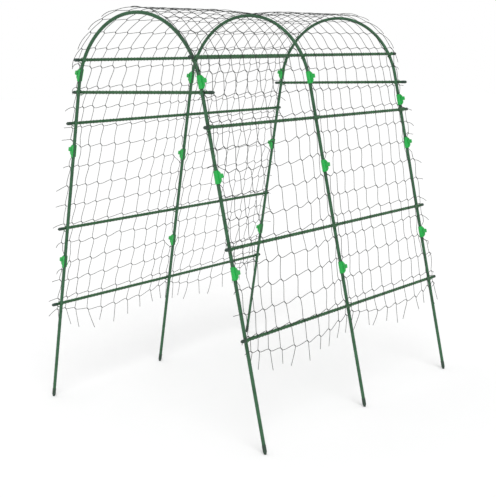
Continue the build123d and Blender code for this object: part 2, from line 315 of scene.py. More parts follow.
def new_geometry_tree(name, sockets):
    """Return a geometry node tree with these named inputs, its input node and its output node."""
    tree = bpy.data.node_groups.new(name, "GeometryNodeTree")
    tree.interface.new_socket("Geometry", in_out="INPUT", socket_type="NodeSocketGeometry")
    for label, kind in sockets.items():
        tree.interface.new_socket(label, in_out="INPUT", socket_type=kind)
    tree.interface.new_socket("Geometry", in_out="OUTPUT", socket_type="NodeSocketGeometry")
    return tree, tree.nodes.new("NodeGroupInput"), tree.nodes.new("NodeGroupOutput")


def grow(obj, tree, values):
    """Run a geometry node tree on an object, and leave the result as its plain mesh."""
    modifier = obj.modifiers.new(tree.name, "NODES")
    modifier.node_group = tree
    for item in tree.interface.items_tree:
        if item.in_out == "INPUT" and item.name in values:
            modifier[item.identifier] = values[item.name]
    graph = bpy.context.evaluated_depsgraph_get()
    result = bpy.data.meshes.new_from_object(
        obj.evaluated_get(graph),
        preserve_all_data_layers=True,
        depsgraph=graph,
    )
    result.name = obj.name
    obj.modifiers.clear()
    obj.data = result


def line_object(name, lines):
    """Return an object of loose edges, one chain of edges for each list of points."""
    points = []
    edges = []
    for line in lines:
        first = len(points)
        points.extend(line)
        edges.extend((index, index + 1) for index in range(first, len(points) - 1))
    mesh = bpy.data.meshes.new(name)
    mesh.from_pydata([tuple(point) for point in points], edges, [])
    obj = bpy.data.objects.new(name, mesh)
    bpy.context.scene.collection.objects.link(obj)
    return obj


def dress(nodes, material):
    """Give each of these frame nodes one material."""
    for node in nodes:
        mesh = frame["nodes"][node].data
        mesh.materials.clear()
        mesh.materials.append(material)


# ---------------------------------------------------------------------------------- materials
def new_material(name):
    """Return a new material with its tree, its Principled shader and its object coordinates."""
    material = bpy.data.materials.new(name)
    material.use_nodes = True
    tree = material.node_tree
    shader = tree.nodes["Principled BSDF"]
    place = add_node(tree, "ShaderNodeTexCoord").outputs["Object"]
    return material, tree, shader, place


def noise_value(tree, place, scale, detail=3.0, roughness=0.55):
    """Return the value of a noise texture."""
    inputs = {"Vector": place, "Scale": scale, "Detail": detail, "Roughness": roughness}
    return add_node(tree, "ShaderNodeTexNoise", inputs).outputs["Fac"]


def spread(tree, value, low, high):
    """Return a value that runs from low to high over the busy middle of a noise."""
    inputs = {"Value": value, "From Min": 0.3, "From Max": 0.7, "To Min": low, "To Max": high}
    return add_node(tree, "ShaderNodeMapRange", inputs).outputs["Result"]


def mixed_colour(tree, factor, first, second):
    """Return the colour between two colours."""
    node = add_node(tree, "ShaderNodeMix", {"Factor": factor}, data_type="RGBA")
    node.inputs[6].default_value = (*first, 1.0)
    node.inputs[7].default_value = (*second, 1.0)
    return node.outputs[2]


def shade(colour, factor):
    """Return a colour made darker or lighter."""
    return tuple(min(1.0, channel * factor) for channel in colour)


def bump_of(tree, height, distance, strength=1.0, base=None):
    """Return a normal bent by a height that is a share of the distance."""
    inputs = {"Height": height, "Distance": distance, "Strength": strength}
    if base is not None:
        inputs["Normal"] = base
    return add_node(tree, "ShaderNodeBump", inputs).outputs["Normal"]


def coated_steel(name, green, gloss):
    """Return the plastic coating of a tube: satin green, faintly mottled, with a fine orange peel."""
    material, tree, shader, place = new_material(name)
    mottle = noise_value(tree, place, 38.0)
    scuff = noise_value(tree, place, 210.0, detail=5.0)
    peel = noise_value(tree, place, 900.0, detail=2.0)
    colour = mixed_colour(tree, spread(tree, mottle, 0.0, 1.0), shade(green, 0.78), shade(green, 1.22))
    tree.links.new(colour, shader.inputs["Base Color"])
    tree.links.new(spread(tree, scuff, gloss - 0.06, gloss + 0.12), shader.inputs["Roughness"])
    shader.inputs["Specular IOR Level"].default_value = 0.22
    normal = bump_of(tree, peel, 0.00012)
    tree.links.new(bump_of(tree, scuff, 0.0002, 0.6, normal), shader.inputs["Normal"])
    return material


def moulded_plastic(name, green, gloss, translucency=0.0):
    """Return moulded plastic: an even colour with faint flow marks and a fine matt grain."""
    material, tree, shader, place = new_material(name)
    flow = noise_value(tree, place, 24.0, detail=2.0)
    grain = noise_value(tree, place, 1500.0, detail=2.0)
    colour = mixed_colour(tree, spread(tree, flow, 0.0, 1.0), shade(green, 0.88), shade(green, 1.10))
    tree.links.new(colour, shader.inputs["Base Color"])
    tree.links.new(spread(tree, grain, gloss - 0.05, gloss + 0.08), shader.inputs["Roughness"])
    shader.inputs["Subsurface Weight"].default_value = translucency
    shader.inputs["Subsurface Radius"].default_value = (0.4, 1.0, 0.5)
    shader.inputs["Subsurface Scale"].default_value = 0.002
    tree.links.new(bump_of(tree, grain, 0.00006), shader.inputs["Normal"])
    return material


def plated_steel(name):
    """Return zinc-plated steel with fine drawn marks."""
    material, tree, shader, place = new_material(name)
    marks = noise_value(tree, place, 450.0, detail=4.0)
    colour = mixed_colour(tree, spread(tree, marks, 0.0, 1.0), (0.42, 0.43, 0.44), (0.62, 0.62, 0.61))
    tree.links.new(colour, shader.inputs["Base Color"])
    shader.inputs["Metallic"].default_value = 1.0
    tree.links.new(spread(tree, marks, 0.25, 0.45), shader.inputs["Roughness"])
    tree.links.new(bump_of(tree, marks, 0.0001), shader.inputs["Normal"])
    return material


def twisted_twine(name, colour, ply_length):
    """Return laid twine: two plies wind round each other, with paler fibres and painted shade darkening the
    grooves between the plies.
    """
    material, tree, shader, place = new_material(name)
    run = add_node(tree, "ShaderNodeAttribute", attribute_name="run").outputs["Fac"]
    rim = add_node(tree, "ShaderNodeAttribute", attribute_name="rim").outputs["Vector"]
    parts = add_node(tree, "ShaderNodeSeparateXYZ", {"Vector": rim})
    angle = math_node(tree, "ARCTAN2", parts.outputs["Y"], parts.outputs["X"])
    along = math_node(tree, "MULTIPLY", run, 2 * math.pi / ply_length)
    both = math_node(tree, "ADD", math_node(tree, "MULTIPLY", angle, 2.0), along)
    plies = math_node(tree, "MULTIPLY", math_node(tree, "SINE", both), 0.5)
    ply = math_node(tree, "ADD", plies, 0.5)
    fibre = noise_value(tree, place, 1400.0, detail=4.0)
    weather = noise_value(tree, place, 12.0)
    worn = mixed_colour(tree, spread(tree, weather, 0.0, 1.0), shade(colour, 0.75), shade(colour, 1.5))
    height = math_node(tree, "ADD", ply, math_node(tree, "MULTIPLY", fibre, 0.5))
    # painted shade: the low grooves between the plies are coloured at half the twine's colour, the raised
    # plies get the weathered colour
    painted_groove_shade = add_node(tree, "ShaderNodeMix", {"Factor": ply}, data_type="RGBA", blend_type="MIX")
    painted_groove_shade.inputs[6].default_value = (*shade(colour, 0.5), 1.0)
    tree.links.new(worn, painted_groove_shade.inputs[7])
    tree.links.new(painted_groove_shade.outputs[2], shader.inputs["Base Color"])
    shader.inputs["Roughness"].default_value = 0.7
    tree.links.new(bump_of(tree, height, 0.0003), shader.inputs["Normal"])
    return material


# --------------------------------------------------------------------------- nubs on the tubes
def nub_tree():
    """Return the tree that sets staggered rings of nubs along lines of edges."""
    tree, given, result = new_geometry_tree("Coating Nubs", {
        "Tube Radius": "NodeSocketFloat",
        "Nub Pitch": "NodeSocketFloat",
        "Nub Base Radius": "NodeSocketFloat",
        "Nub Height": "NodeSocketFloat",
        "Nubs Per Ring": "NodeSocketInt",
        "Coating": "NodeSocketMaterial",
    })
    given = given.outputs
    sunk = math_node(tree, "MULTIPLY", given["Nub Height"], 0.3)
    nub = add_node(tree, "GeometryNodeMeshCone", {
        "Vertices": 7,
        "Radius Top": math_node(tree, "MULTIPLY", given["Nub Base Radius"], 0.35),
        "Radius Bottom": given["Nub Base Radius"],
        "Depth": math_node(tree, "ADD", given["Nub Height"], sunk),
    })
    seat = math_node(tree, "SUBTRACT", given["Tube Radius"], sunk)
    circle = add_node(tree, "GeometryNodeCurvePrimitiveCircle", {
        "Resolution": given["Nubs Per Ring"],
        "Radius": seat,
    })
    outward = add_node(
        tree,
        "FunctionNodeAlignRotationToVector",
        {"Vector": add_node(tree, "GeometryNodeInputPosition").outputs[0]},
        axis="Z",
    )
    ring = add_node(tree, "GeometryNodeInstanceOnPoints", {
        "Points": circle.outputs["Curve"],
        "Instance": nub.outputs["Mesh"],
        "Rotation": outward.outputs[0],
    })
    line = add_node(tree, "GeometryNodeMeshToCurve", {"Mesh": given["Geometry"]})
    stations = add_node(
        tree,
        "GeometryNodeResampleCurve",
        {"Curve": line.outputs[0], "Length": given["Nub Pitch"]},
        mode="LENGTH",
    )
    along = add_node(
        tree,
        "FunctionNodeAlignRotationToVector",
        {"Vector": add_node(tree, "GeometryNodeInputTangent").outputs[0]},
        axis="Z",
    )
    half_step = math_node(tree, "DIVIDE", math.pi, given["Nubs Per Ring"])
    turn = math_node(tree, "MULTIPLY", add_node(tree, "GeometryNodeInputIndex").outputs[0], half_step)
    stagger = add_node(tree, "FunctionNodeAxisAngleToRotation", {"Axis": (0, 0, 1), "Angle": turn})
    turned = add_node(
        tree,
        "FunctionNodeRotateRotation",
        {"Rotation": along.outputs[0], "Rotate By": stagger.outputs[0]},
        rotation_space="LOCAL",
    )
    rings = add_node(tree, "GeometryNodeInstanceOnPoints", {
        "Points": stations.outputs[0],
        "Instance": ring.outputs[0],
        "Rotation": turned.outputs[0],
    })
    real = add_node(tree, "GeometryNodeRealizeInstances", {"Geometry": rings.outputs[0]})
    coated = add_node(tree, "GeometryNodeSetMaterial", {
        "Geometry": real.outputs[0],
        "Material": given["Coating"],
    })
    tree.links.new(coated.outputs[0], result.inputs[0])
    return tree


NUBS_PER_RING = 4
CROSSING_CLEARANCE = 0.016     # bare stretch each side of a tied crossing
FOOT_CLEARANCE = 0.052         # bare stretch from the ground, past the foot cap
CAP_CLEARANCE = 0.034          # bare stretch from a rod's tip, past its cap
CLIP_CLEARANCE = 0.032         # bare stretch each side of the middle of a clip
BEND_STEP = 0.01               # between the points of a hoop's bend
LINE_STEP = 0.003              # between the points of a line that carries nubs


def cut_line(points, step, gaps):
    """Resample a line and return its stretches outside the gaps, which are each a point and a reach."""
    points = np.array(points, float)
    lengths = np.linalg.norm(np.diff(points, axis=0), axis=1)
    run = np.concatenate(([0.0], np.cumsum(lengths)))
    count = int(run[-1] / step) + 1
    places = np.linspace(0.0, run[-1], count)
    fine = np.stack([np.interp(places, run, points[:, axis]) for axis in range(3)], axis=1)
    stretches = []
    stretch = []
    for point in fine:
        near = any(np.linalg.norm(point - middle) < reach for middle, reach in gaps)
        if near and len(stretch) > 1:
            stretches.append(stretch)
        if near:
            stretch = []
        else:
            stretch.append(point)
    if len(stretch) > 1:
        stretches.append(stretch)
    return stretches


def hoop_gaps(hoop):
    """Return the gaps in a hoop's nubs: where a rod or bar is tied to it, and under its clips."""
    y = arch.hoop_y[hoop]
    crossings = []
    for x, z in arch.rods.values():
        lean = arch.lean if z < arch.bend_height else math.atan2(z - arch.bend_centre, x)
        reach = arch.tube_radius + arch.rod_radius
        crossings.append((x - reach * math.cos(lean), z - reach * math.sin(lean)))
    if hoop != "middle":
        low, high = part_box(f"{hoop}_cross_bar")
        z = (low.z + high.z) / 2
        crossings.append((arch.half_base - z * math.tan(arch.lean), z))
    gaps = []
    for side, sign in SIDES.items():
        gaps += [(np.array((sign * x, y, z)), CROSSING_CLEARANCE) for x, z in crossings]
        for level in LEVELS:
            clip = arch.joints[f"{hoop}_{side}_{level}_clip_swivel"]
            gaps.append((np.array(clip["pos_m"]), CLIP_CLEARANCE))
    return gaps


def hoop_stretches(hoop):
    """Return the stretches of one hoop's centre line that carry nubs."""
    line = [(x, arch.hoop_y[hoop], z) for x, z in arch.hoop_line(FOOT_CLEARANCE, BEND_STEP)]
    return cut_line(line, LINE_STEP, hoop_gaps(hoop))


def rod_stretches(side, level):
    """Return the stretches of one side rod's centre line that carry nubs."""
    x, z = arch.rods[level]
    x *= SIDES[side]
    low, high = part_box("rod_end_caps")
    line = [(x, low.y + CAP_CLEARANCE, z), (x, high.y - CAP_CLEARANCE, z)]
    gaps = [(np.array((x, y, z)), CROSSING_CLEARANCE) for y in arch.hoop_y.values()]
    return cut_line(line, LINE_STEP, gaps)


def bar_stretches(hoop):
    """Return the stretches of one cross-bar's centre line that carry nubs."""
    low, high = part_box(f"{hoop}_cross_bar")
    y, z = (low.y + high.y) / 2, (low.z + high.z) / 2
    leg = arch.half_base - z * math.tan(arch.lean)
    line = [(low.x + CAP_CLEARANCE, y, z), (high.x - CAP_CLEARANCE, y, z)]
    gaps = [(np.array((sign * leg, y, z)), CROSSING_CLEARANCE) for sign in SIDES.values()]
    return cut_line(line, LINE_STEP, gaps)


def make_nubs(name, stretches, kind, radius, coating):
    """Make one piece of nubs along these stretches, with the nub sizes set for tubes or for rods."""
    settings = bpy.context.scene.trellis_coating
    piece = line_object(name, stretches)
    tree = bpy.data.node_groups.get("Coating Nubs") or nub_tree()
    grow(piece, tree, {
        "Tube Radius": radius,
        "Nub Pitch": getattr(settings, f"{kind}_nub_pitch"),
        "Nub Base Radius": getattr(settings, f"{kind}_nub_base"),
        "Nub Height": getattr(settings, f"{kind}_nub_height"),
        "Nubs Per Ring": NUBS_PER_RING,
        "Coating": coating,
    })
    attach(piece, "frame")
    return piece


# -------------------------------------------------------------------------------------- the net
NET_LIFT = 0.0018              # twine centre above the top of a rod, over the ties
CROWN_LIFT = 0.0024            # twine centre above the middle hoop at its crown
ROOF_LIFT = 0.012              # how far the roof stands up away from the middle hoop
ROOF_RISE = 0.26               # the stretch from the middle hoop over which it stands up
ROOF_FALL = 0.42               # the stretch above the shoulder rods over which it comes down again
ROOF_FREEDOM = 0.4             # how freely the roof billows, where a side is 1
RELEASE = 0.08                 # the stretch past a rod over which the net comes free of it
HEM_REACH = 0.20               # how far the net's line is known past the lower rod
FIRST_ROW = {"left": 0.095, "right": 0.004}
ROW_STRETCH = {"left": 0.97, "right": 1.02}
HEM_ROW = 17                   # the last row, counted from the crown
FRONT_DROP = 0.024             # the front right bay hangs this much lower
GATHER = 0.30                  # how much the columns bunch at the hoops and spread between them
EDGE_REACH = 0.015             # the roof's edges lie this far past the end hoops
CLIP_GRIP = 0.0084             # twine centre from the tube axis under a clip
CLIP_FULL = 0.031              # the net is pressed to the tube this far each side of a clip
CLIP_FADE = 0.056              # and free again this far from it
CLIP_SPREAD = 0.110            # and this far along the tunnel
CLIP_WIDTH = 0.0275            # a twine that starts this close along the tunnel is under the clip
ROW_CLEARANCE = 0.048          # a row keeps this far from the middle of a clip
HEM_LIFT = 0.040               # the hem is drawn up this much at the legs
HEM_LIFT_COLUMNS = 3.5         # and less and less over this many columns from them
WANDER_ALONG = 0.010           # how far the knots stray down the net
WANDER_ACROSS = 0.012          # along the tunnel
WANDER_OUT = 0.014             # and in and out
KNOT_TURNS = 1.5               # turns of the two plies in a knot
PLY_LENGTH = 0.004             # length of one turn of the twine's own plies
STRAND_STEPS = 9


def smooth(value):
    """Return a smooth step of a value held between 0 and 1."""
    value = min(1.0, max(0.0, value))
    return value * value * (3 - 2 * value)


class NetLine:
    """The line of the net in X and Z on the right side, by distance from the crown."""

    def __init__(self):
        reach = arch.rod_radius + NET_LIFT
        corners = {}
        for level, (x, z) in arch.rods.items():
            lean = arch.lean
            if level == "shoulder":
                lean = math.atan2(z - arch.bend_centre, x)
            corners[level] = np.array((x + reach * math.cos(lean), z + reach * math.sin(lean)))
        crown = arch.bend_radius + arch.tube_radius + CROWN_LIFT
        rise = corners["shoulder"] - (0.0, arch.bend_centre)
        points = []
        for t in np.linspace(0.0, 1.0, 40):
            angle = math.pi / 2 + t * (math.atan2(rise[1], rise[0]) - math.pi / 2)
            radius = crown + t * (math.hypot(*rise) - crown)
            points.append((radius * math.cos(angle), arch.bend_centre + radius * math.sin(angle)))
        down = np.array((math.sin(arch.lean), -math.cos(arch.lean)))
        points += [corners["upper"], corners["lower"], corners["lower"] + HEM_REACH * down]
        self.points = np.array(points)
        lengths = np.linalg.norm(np.diff(self.points, axis=0), axis=1)
        self.run = np.concatenate(([0.0], np.cumsum(lengths)))
        self.supports = [self.nearest(point) for point in corners.values()]
        self.clips = {side: [] for side in SIDES}
        for hoop in HOOPS:
            for side in SIDES:
                for level in LEVELS:
                    x, y, z = arch.joints[f"{hoop}_{side}_{level}_clip_swivel"]["pos_m"]
                    distance = self.nearest((abs(x), z))
                    place = np.array(self.at(distance)[0])
                    drop = float(np.linalg.norm(place - (abs(x), z))) - CLIP_GRIP
                    self.clips[side].append((distance, y, drop))

    def at(self, distance):
        """Return the point at a distance from the crown, and the outward direction there."""
        distance = max(distance, 0.0)
        point = [np.interp(distance, self.run, self.points[:, axis]) for axis in range(2)]
        index = min(int(np.searchsorted(self.run, distance, side="right")), len(self.run) - 1)
        index = max(index, 1)
        step = self.points[index] - self.points[index - 1]
        step = step / np.linalg.norm(step)
        return point, (-step[1], step[0])

    def nearest(self, target):
        """Return the distance from the crown of the point on the line nearest to a target."""
        tries = np.linspace(0.0, self.run[-1], 4000)
        x = np.interp(tries, self.run, self.points[:, 0])
        z = np.interp(tries, self.run, self.points[:, 1])
        return float(tries[np.argmin((x - target[0]) ** 2 + (z - target[1]) ** 2)])

    def freedom(self, distance):
        """Return 0 where the net lies on something and 1 where it is free to billow."""
        if distance < self.supports[0]:
            return ROOF_FREEDOM * smooth((self.supports[0] - distance) / RELEASE)
        return smooth(min(abs(distance - support) for support in self.supports) / RELEASE)

    def clipped(self, side, start, end):
        """Return whether a twine between two places passes under a clip."""
        upper, lower = sorted((start[0], end[0]))
        return any(
            upper < distance < lower and abs(start[1] - y) < CLIP_WIDTH
            for distance, y, _ in self.clips[side]
        )

    def place(self, side, distance, y, out):
        """Return a point of the net in space, drawn in to the tube where a clip holds it."""
        if distance < 0:
            side = "left" if side == "right" else "right"
            distance = -distance
        point, outward = self.at(distance)
        out *= self.freedom(distance)
        above_rod = smooth((self.supports[0] - distance) / ROOF_FALL)
        out += ROOF_LIFT * smooth(abs(y) / ROOF_RISE) * above_rod
        for clip_distance, clip_y, drop in self.clips[side]:
            pressed = smooth((CLIP_FADE - abs(distance - clip_distance)) / (CLIP_FADE - CLIP_FULL))
            pressed *= smooth(1 - abs(y - clip_y) / CLIP_SPREAD)
            out -= (drop + out) * pressed
        x = point[0] + out * outward[0]
        return (SIDES[side] * x, y, point[1] + out * outward[1])


class NetMaker:
    """Lays out the knots and the slack twines of the net."""

    def __init__(self, settings):
        self.line = NetLine()
        self.random = random.Random(settings.seed)
        noise.seed_set(settings.seed)
        self.reach = settings.knot_reach
        self.pitch = settings.row_pitch
        self.columns = 2 * settings.cells_per_bay
        self.cell = arch.bay / settings.cells_per_bay
        self.hoop_columns = (0, settings.cells_per_bay, self.columns)
        self.knots = {}
        for side in SIDES:
            for row in range(HEM_ROW + 1):
                for column in range(self.columns + 1):
                    self.knots[side, row, column] = self.knot(side, row, column)

    def column_place(self, column, distance):
        """Return the Y of a column: gathered at the hoops, and past the end hoops on the roof."""
        down = distance - self.line.supports[0]
        bays = column * self.cell / arch.bay
        gather = GATHER * (0.45 + 0.55 * smooth(down / 0.3))
        bunched = bays - gather * math.sin(2 * math.pi * bays) / (2 * math.pi)
        y = arch.hoop_y["front"] + arch.bay * bunched
        past = EDGE_REACH * (1 - smooth(down / 0.07))
        if column == 0:
            return y - past
        if column == self.columns:
            return y + past
        return y

    def knot(self, side, row, column):
        """Return a knot as its distance from the crown, its Y, its billow and its own reach."""
        distance = FIRST_ROW[side] + self.pitch * ROW_STRETCH[side] * row
        y = self.column_place(column, distance)
        if side == "right":
            distance += FRONT_DROP * smooth((distance - 0.6) / 0.25) * smooth(-y / 0.3)
        slack = 0.25 + 0.75 * smooth((distance - self.line.supports[0]) / 1.0)
        seed = Vector((0.31 * column, 0.43 * row, 5.0 * SIDES[side]))
        wander = noise.noise_vector(seed)
        along = WANDER_ALONG * wander.x + self.random.uniform(-0.003, 0.003)
        across = WANDER_ACROSS * wander.y + self.random.uniform(-0.004, 0.004)
        billow = WANDER_OUT * wander.z + self.random.uniform(-0.002, 0.002)
        reach = self.reach * self.random.uniform(0.8, 1.25)
        on_hoop = column in self.hoop_columns
        distance += slack * along * (0.5 if on_hoop else 1.0)
        if not on_hoop:
            y += slack * across * 0.8
        past_hem = smooth((distance - self.line.supports[-1]) / 0.05)
        near_hoop = min(abs(column - hoop_column) for hoop_column in self.hoop_columns)
        distance -= HEM_LIFT * past_hem * smooth(1 - near_hoop / HEM_LIFT_COLUMNS)
        if on_hoop:
            distance = self.clear_of_clips(side, distance, y)
        return distance, y, slack * billow, reach

    def clear_of_clips(self, side, distance, y):
        """Return a distance moved past the end of any clip that it falls under."""
        for clip_distance, clip_y, _ in self.line.clips[side]:
            gap = distance - clip_distance
            if abs(y - clip_y) < self.cell / 2 and abs(gap) < ROW_CLEARANCE:
                return clip_distance + math.copysign(ROW_CLEARANCE, gap)
        return distance

    def ends(self, key):
        """Return the upper and the lower end of a knot, as distance, Y and billow."""
        distance, y, billow, reach = self.knots[key]
        half = reach * math.sqrt(0.5)
        return (distance - half, y - half, billow), (distance + half, y + half, billow)

    def strand(self, side, start, end, start_way, end_way):
        """Return the points of one slack twine between two places on the net."""
        length = math.dist(start[:2], end[:2])
        free = self.line.freedom((start[0] + end[0]) / 2)
        slack = length * (0.22 + 0.28 * free) * self.random.uniform(0.35, 1.25)
        if self.line.clipped(side, start, end):
            slack *= 0.1
        droop = 0.0035 * free * self.random.uniform(-0.6, 1.4)
        bulge = 0.004 * self.random.uniform(-1, 1)
        points = []
        for step in range(STRAND_STEPS + 1):
            t = step / STRAND_STEPS
            ease = t * t * (3 - 2 * t)
            leave = t * (1 - t) ** 2 * slack
            arrive = -(t * t) * (1 - t) * slack
            hump = 4 * t * (1 - t)
            distance = start[0] + ease * (end[0] - start[0])
            distance += leave * start_way[0] + arrive * end_way[0]
            y = start[1] + ease * (end[1] - start[1])
            y += leave * start_way[1] + arrive * end_way[1]
            out = start[2] + ease * (end[2] - start[2]) + bulge * hump
            if abs(start[1] - end[1]) > abs(start[0] - end[0]):
                distance += droop * hump
            points.append(self.line.place(side, distance, y, out))
        return points

    def tail(self, side, start, reach_y, reach_down):
        """Return the points of a loose cut tail: out along the tunnel by one reach, down by the other."""
        root = Vector(self.line.place(side, *start))
        sway = Vector((self.random.uniform(-0.4, 0.4), self.random.uniform(-0.2, 0.2), 0.0))
        curl = self.random.uniform(0.4, 1.0)
        length = abs(reach_y) + abs(reach_down)
        points = []
        for step in range(STRAND_STEPS + 1):
            t = step / STRAND_STEPS
            fall = reach_down * ((1 - curl) * t + curl * t * t)
            ahead = reach_y * t * (1.25 - 0.25 * t)
            points.append(root + Vector((0.0, ahead, -fall)) + sway * length * t * t)
        return points

    def trail(self, side, start, way):
        """Return the points of a cut edge twine that trails down along the edge of the roof."""
        length = self.random.uniform(0.07, 0.13)
        reach = way * self.random.uniform(0.012, 0.030)
        curl = self.random.uniform(0.004, 0.016)
        points = []
        for step in range(STRAND_STEPS + 1):
            t = step / STRAND_STEPS
            along = start[0] + length * t
            y = start[1] + reach * t * (2 - t)
            points.append(self.line.place(side, along, y, start[2] + curl * math.sin(2.6 * t)))
        return points


def net_tree():
    """Return the tree that turns lines into twine and marked points into twisted knots."""
    tree, given, result = new_geometry_tree("Knotted Net", {
        "Twine Radius": "NodeSocketFloat",
        "Knot Reach": "NodeSocketFloat",
        "Knot Turns": "NodeSocketFloat",
        "Twine": "NodeSocketMaterial",
    })
    given = given.outputs
    profile = add_node(tree, "GeometryNodeCurvePrimitiveCircle", {
        "Resolution": 6,
        "Radius": given["Twine Radius"],
    })
    rim = add_node(
        tree,
        "GeometryNodeStoreNamedAttribute",
        {
            "Geometry": profile.outputs["Curve"],
            "Name": "rim",
            "Value": add_node(tree, "GeometryNodeInputPosition").outputs[0],
        },
        data_type="FLOAT_VECTOR",
        domain="POINT",
    )
    line = add_node(tree, "GeometryNodeMeshToCurve", {"Mesh": given["Geometry"]})
    run = add_node(
        tree,
        "GeometryNodeStoreNamedAttribute",
        {
            "Geometry": line.outputs[0],
            "Name": "run",
            "Value": add_node(tree, "GeometryNodeSplineParameter").outputs["Length"],
        },
        data_type="FLOAT",
        domain="POINT",
    )
    twine = add_node(tree, "GeometryNodeCurveToMesh", {
        "Curve": run.outputs[0],
        "Profile Curve": rim.outputs[0],
        "Fill Caps": True,
    })
    length = math_node(tree, "MULTIPLY", given["Knot Reach"], 2.3)
    ply = add_node(tree, "GeometryNodeCurveSpiral", {
        "Resolution": 7,
        "Rotations": given["Knot Turns"],
        "Start Radius": math_node(tree, "MULTIPLY", given["Twine Radius"], 0.9),
        "End Radius": math_node(tree, "MULTIPLY", given["Twine Radius"], 0.9),
        "Height": length,
    })
    small = add_node(tree, "GeometryNodeCurvePrimitiveCircle", {
        "Resolution": 4,
        "Radius": math_node(tree, "MULTIPLY", given["Twine Radius"], 1.15),
    })
    ply_mesh = add_node(tree, "GeometryNodeCurveToMesh", {
        "Curve": ply.outputs[0],
        "Profile Curve": small.outputs["Curve"],
        "Fill Caps": True,
    })
    middle = add_node(tree, "ShaderNodeCombineXYZ", {"Z": math_node(tree, "MULTIPLY", length, -0.5)})
    centred = add_node(tree, "GeometryNodeTransform", {
        "Geometry": ply_mesh.outputs[0],
        "Translation": middle.outputs[0],
    })
    other = add_node(tree, "GeometryNodeTransform", {
        "Geometry": centred.outputs[0],
        "Rotation": (0.0, 0.0, math.pi),
    })
    knot = add_node(tree, "GeometryNodeJoinGeometry")
    tree.links.new(other.outputs[0], knot.inputs[0])
    tree.links.new(centred.outputs[0], knot.inputs[0])
    marked = add_node(
        tree,
        "GeometryNodeInputNamedAttribute",
        {"Name": "knot"},
        data_type="FLOAT",
    ).outputs["Attribute"]
    way = add_node(
        tree,
        "GeometryNodeInputNamedAttribute",
        {"Name": "knot_way"},
        data_type="FLOAT_VECTOR",
    ).outputs["Attribute"]
    points = add_node(tree, "GeometryNodeMeshToPoints", {
        "Mesh": given["Geometry"],
        "Selection": marked,
    })
    turned = add_node(tree, "FunctionNodeAlignRotationToVector", {"Vector": way}, axis="Z")
    knots = add_node(tree, "GeometryNodeInstanceOnPoints", {
        "Points": points.outputs[0],
        "Instance": knot.outputs[0],
        "Rotation": turned.outputs[0],
        "Scale": add_node(tree, "ShaderNodeCombineXYZ", {"X": 1.0, "Y": 1.0, "Z": marked}).outputs[0],
    })
    both = add_node(tree, "GeometryNodeJoinGeometry")
    tree.links.new(knots.outputs[0], both.inputs[0])
    tree.links.new(twine.outputs[0], both.inputs[0])
    real = add_node(tree, "GeometryNodeRealizeInstances", {"Geometry": both.outputs[0]})
    done = add_node(tree, "GeometryNodeSetMaterial", {
        "Geometry": real.outputs[0],
        "Material": given["Twine"],
    })
    tree.links.new(done.outputs[0], result.inputs[0])
    return tree


def net_piece(name, maker, lines, keys, settings, twine):
    """Make one piece of net from its twines and its knots."""
    obj = line_object(name, lines)
    mesh = obj.data
    first = len(mesh.vertices)
    mesh.vertices.add(len(keys))
    knot = mesh.attributes.new("knot", "FLOAT", "POINT")
    way = mesh.attributes.new("knot_way", "FLOAT_VECTOR", "POINT")
    for index, key in enumerate(keys, first):
        upper, lower = maker.ends(key)
        start = Vector(maker.line.place(key[0], *upper))
        end = Vector(maker.line.place(key[0], *lower))
        mesh.vertices[index].co = (start + end) / 2
        knot.data[index].value = (end - start).length / (2 * settings.knot_reach)
        way.data[index].vector = (end - start).normalized()
    mesh.update()
    tree = bpy.data.node_groups.get("Knotted Net") or net_tree()
    grow(obj, tree, {
        "Twine Radius": settings.twine_radius,
        "Knot Reach": settings.knot_reach,
        "Knot Turns": KNOT_TURNS,
        "Twine": twine,
    })
    return obj


def net_lines(maker):
    """Return the twines of each part of the net: left side, roof and right side."""
    lines = {"left": [], "roof": [], "right": []}
    keys = {"left": [], "roof": [], "right": []}
    knot_way = (math.sqrt(0.5), math.sqrt(0.5))
    for side in SIDES:
        for row in range(HEM_ROW + 1):
            on_roof = maker.knots[side, row, 0][0] < maker.line.supports[0]
            part = "roof" if on_roof else side
            for column in range(maker.columns + 1):
                key = (side, row, column)
                keys[part].append(key)
                upper, lower = maker.ends(key)
                if column < maker.columns:
                    next_upper = maker.ends((side, row, column + 1))[0]
                    lines[part].append(maker.strand(side, lower, next_upper, knot_way, knot_way))
                if row < HEM_ROW:
                    next_upper = maker.ends((side, row + 1, column))[0]
                    lines[part].append(maker.strand(side, lower, next_upper, knot_way, knot_way))
                else:
                    lines[part].append(maker.tail(side, lower, 0.0, maker.random.uniform(0.06, 0.10)))
            for start, way in ((maker.ends((side, row, 0))[0], -1), (lower, 1)):
                if on_roof:
                    lines[part].append(maker.trail(side, start, way))
                    continue
                reach = way * maker.random.uniform(0.035, 0.060)
                lines[part].append(maker.tail(side, start, reach, maker.random.uniform(0.0, 0.032)))
    for column in range(maker.columns + 1):
        right = maker.ends(("right", 0, column))[0]
        left = maker.ends(("left", 0, column))[0]
        across = (-left[0], left[1], left[2])
        lines["roof"].append(maker.strand("right", right, across, (-0.7, -0.7), (-0.7, 0.7)))
    return lines, keys


# ------------------------------------------------------------------------------------ operators
FLOOR_REACH = 40.0
FLOOR_DROP = 0.001             # the floor lies this far under the feet
SUNS = (                       # name, place, angular width in degrees, strength
    ("key_light", (4.0, -3.5, 5.5), 35.0, 1.9),
    ("fill_light", (-5.0, -2.0, 4.0), 60.0, 0.4),
)


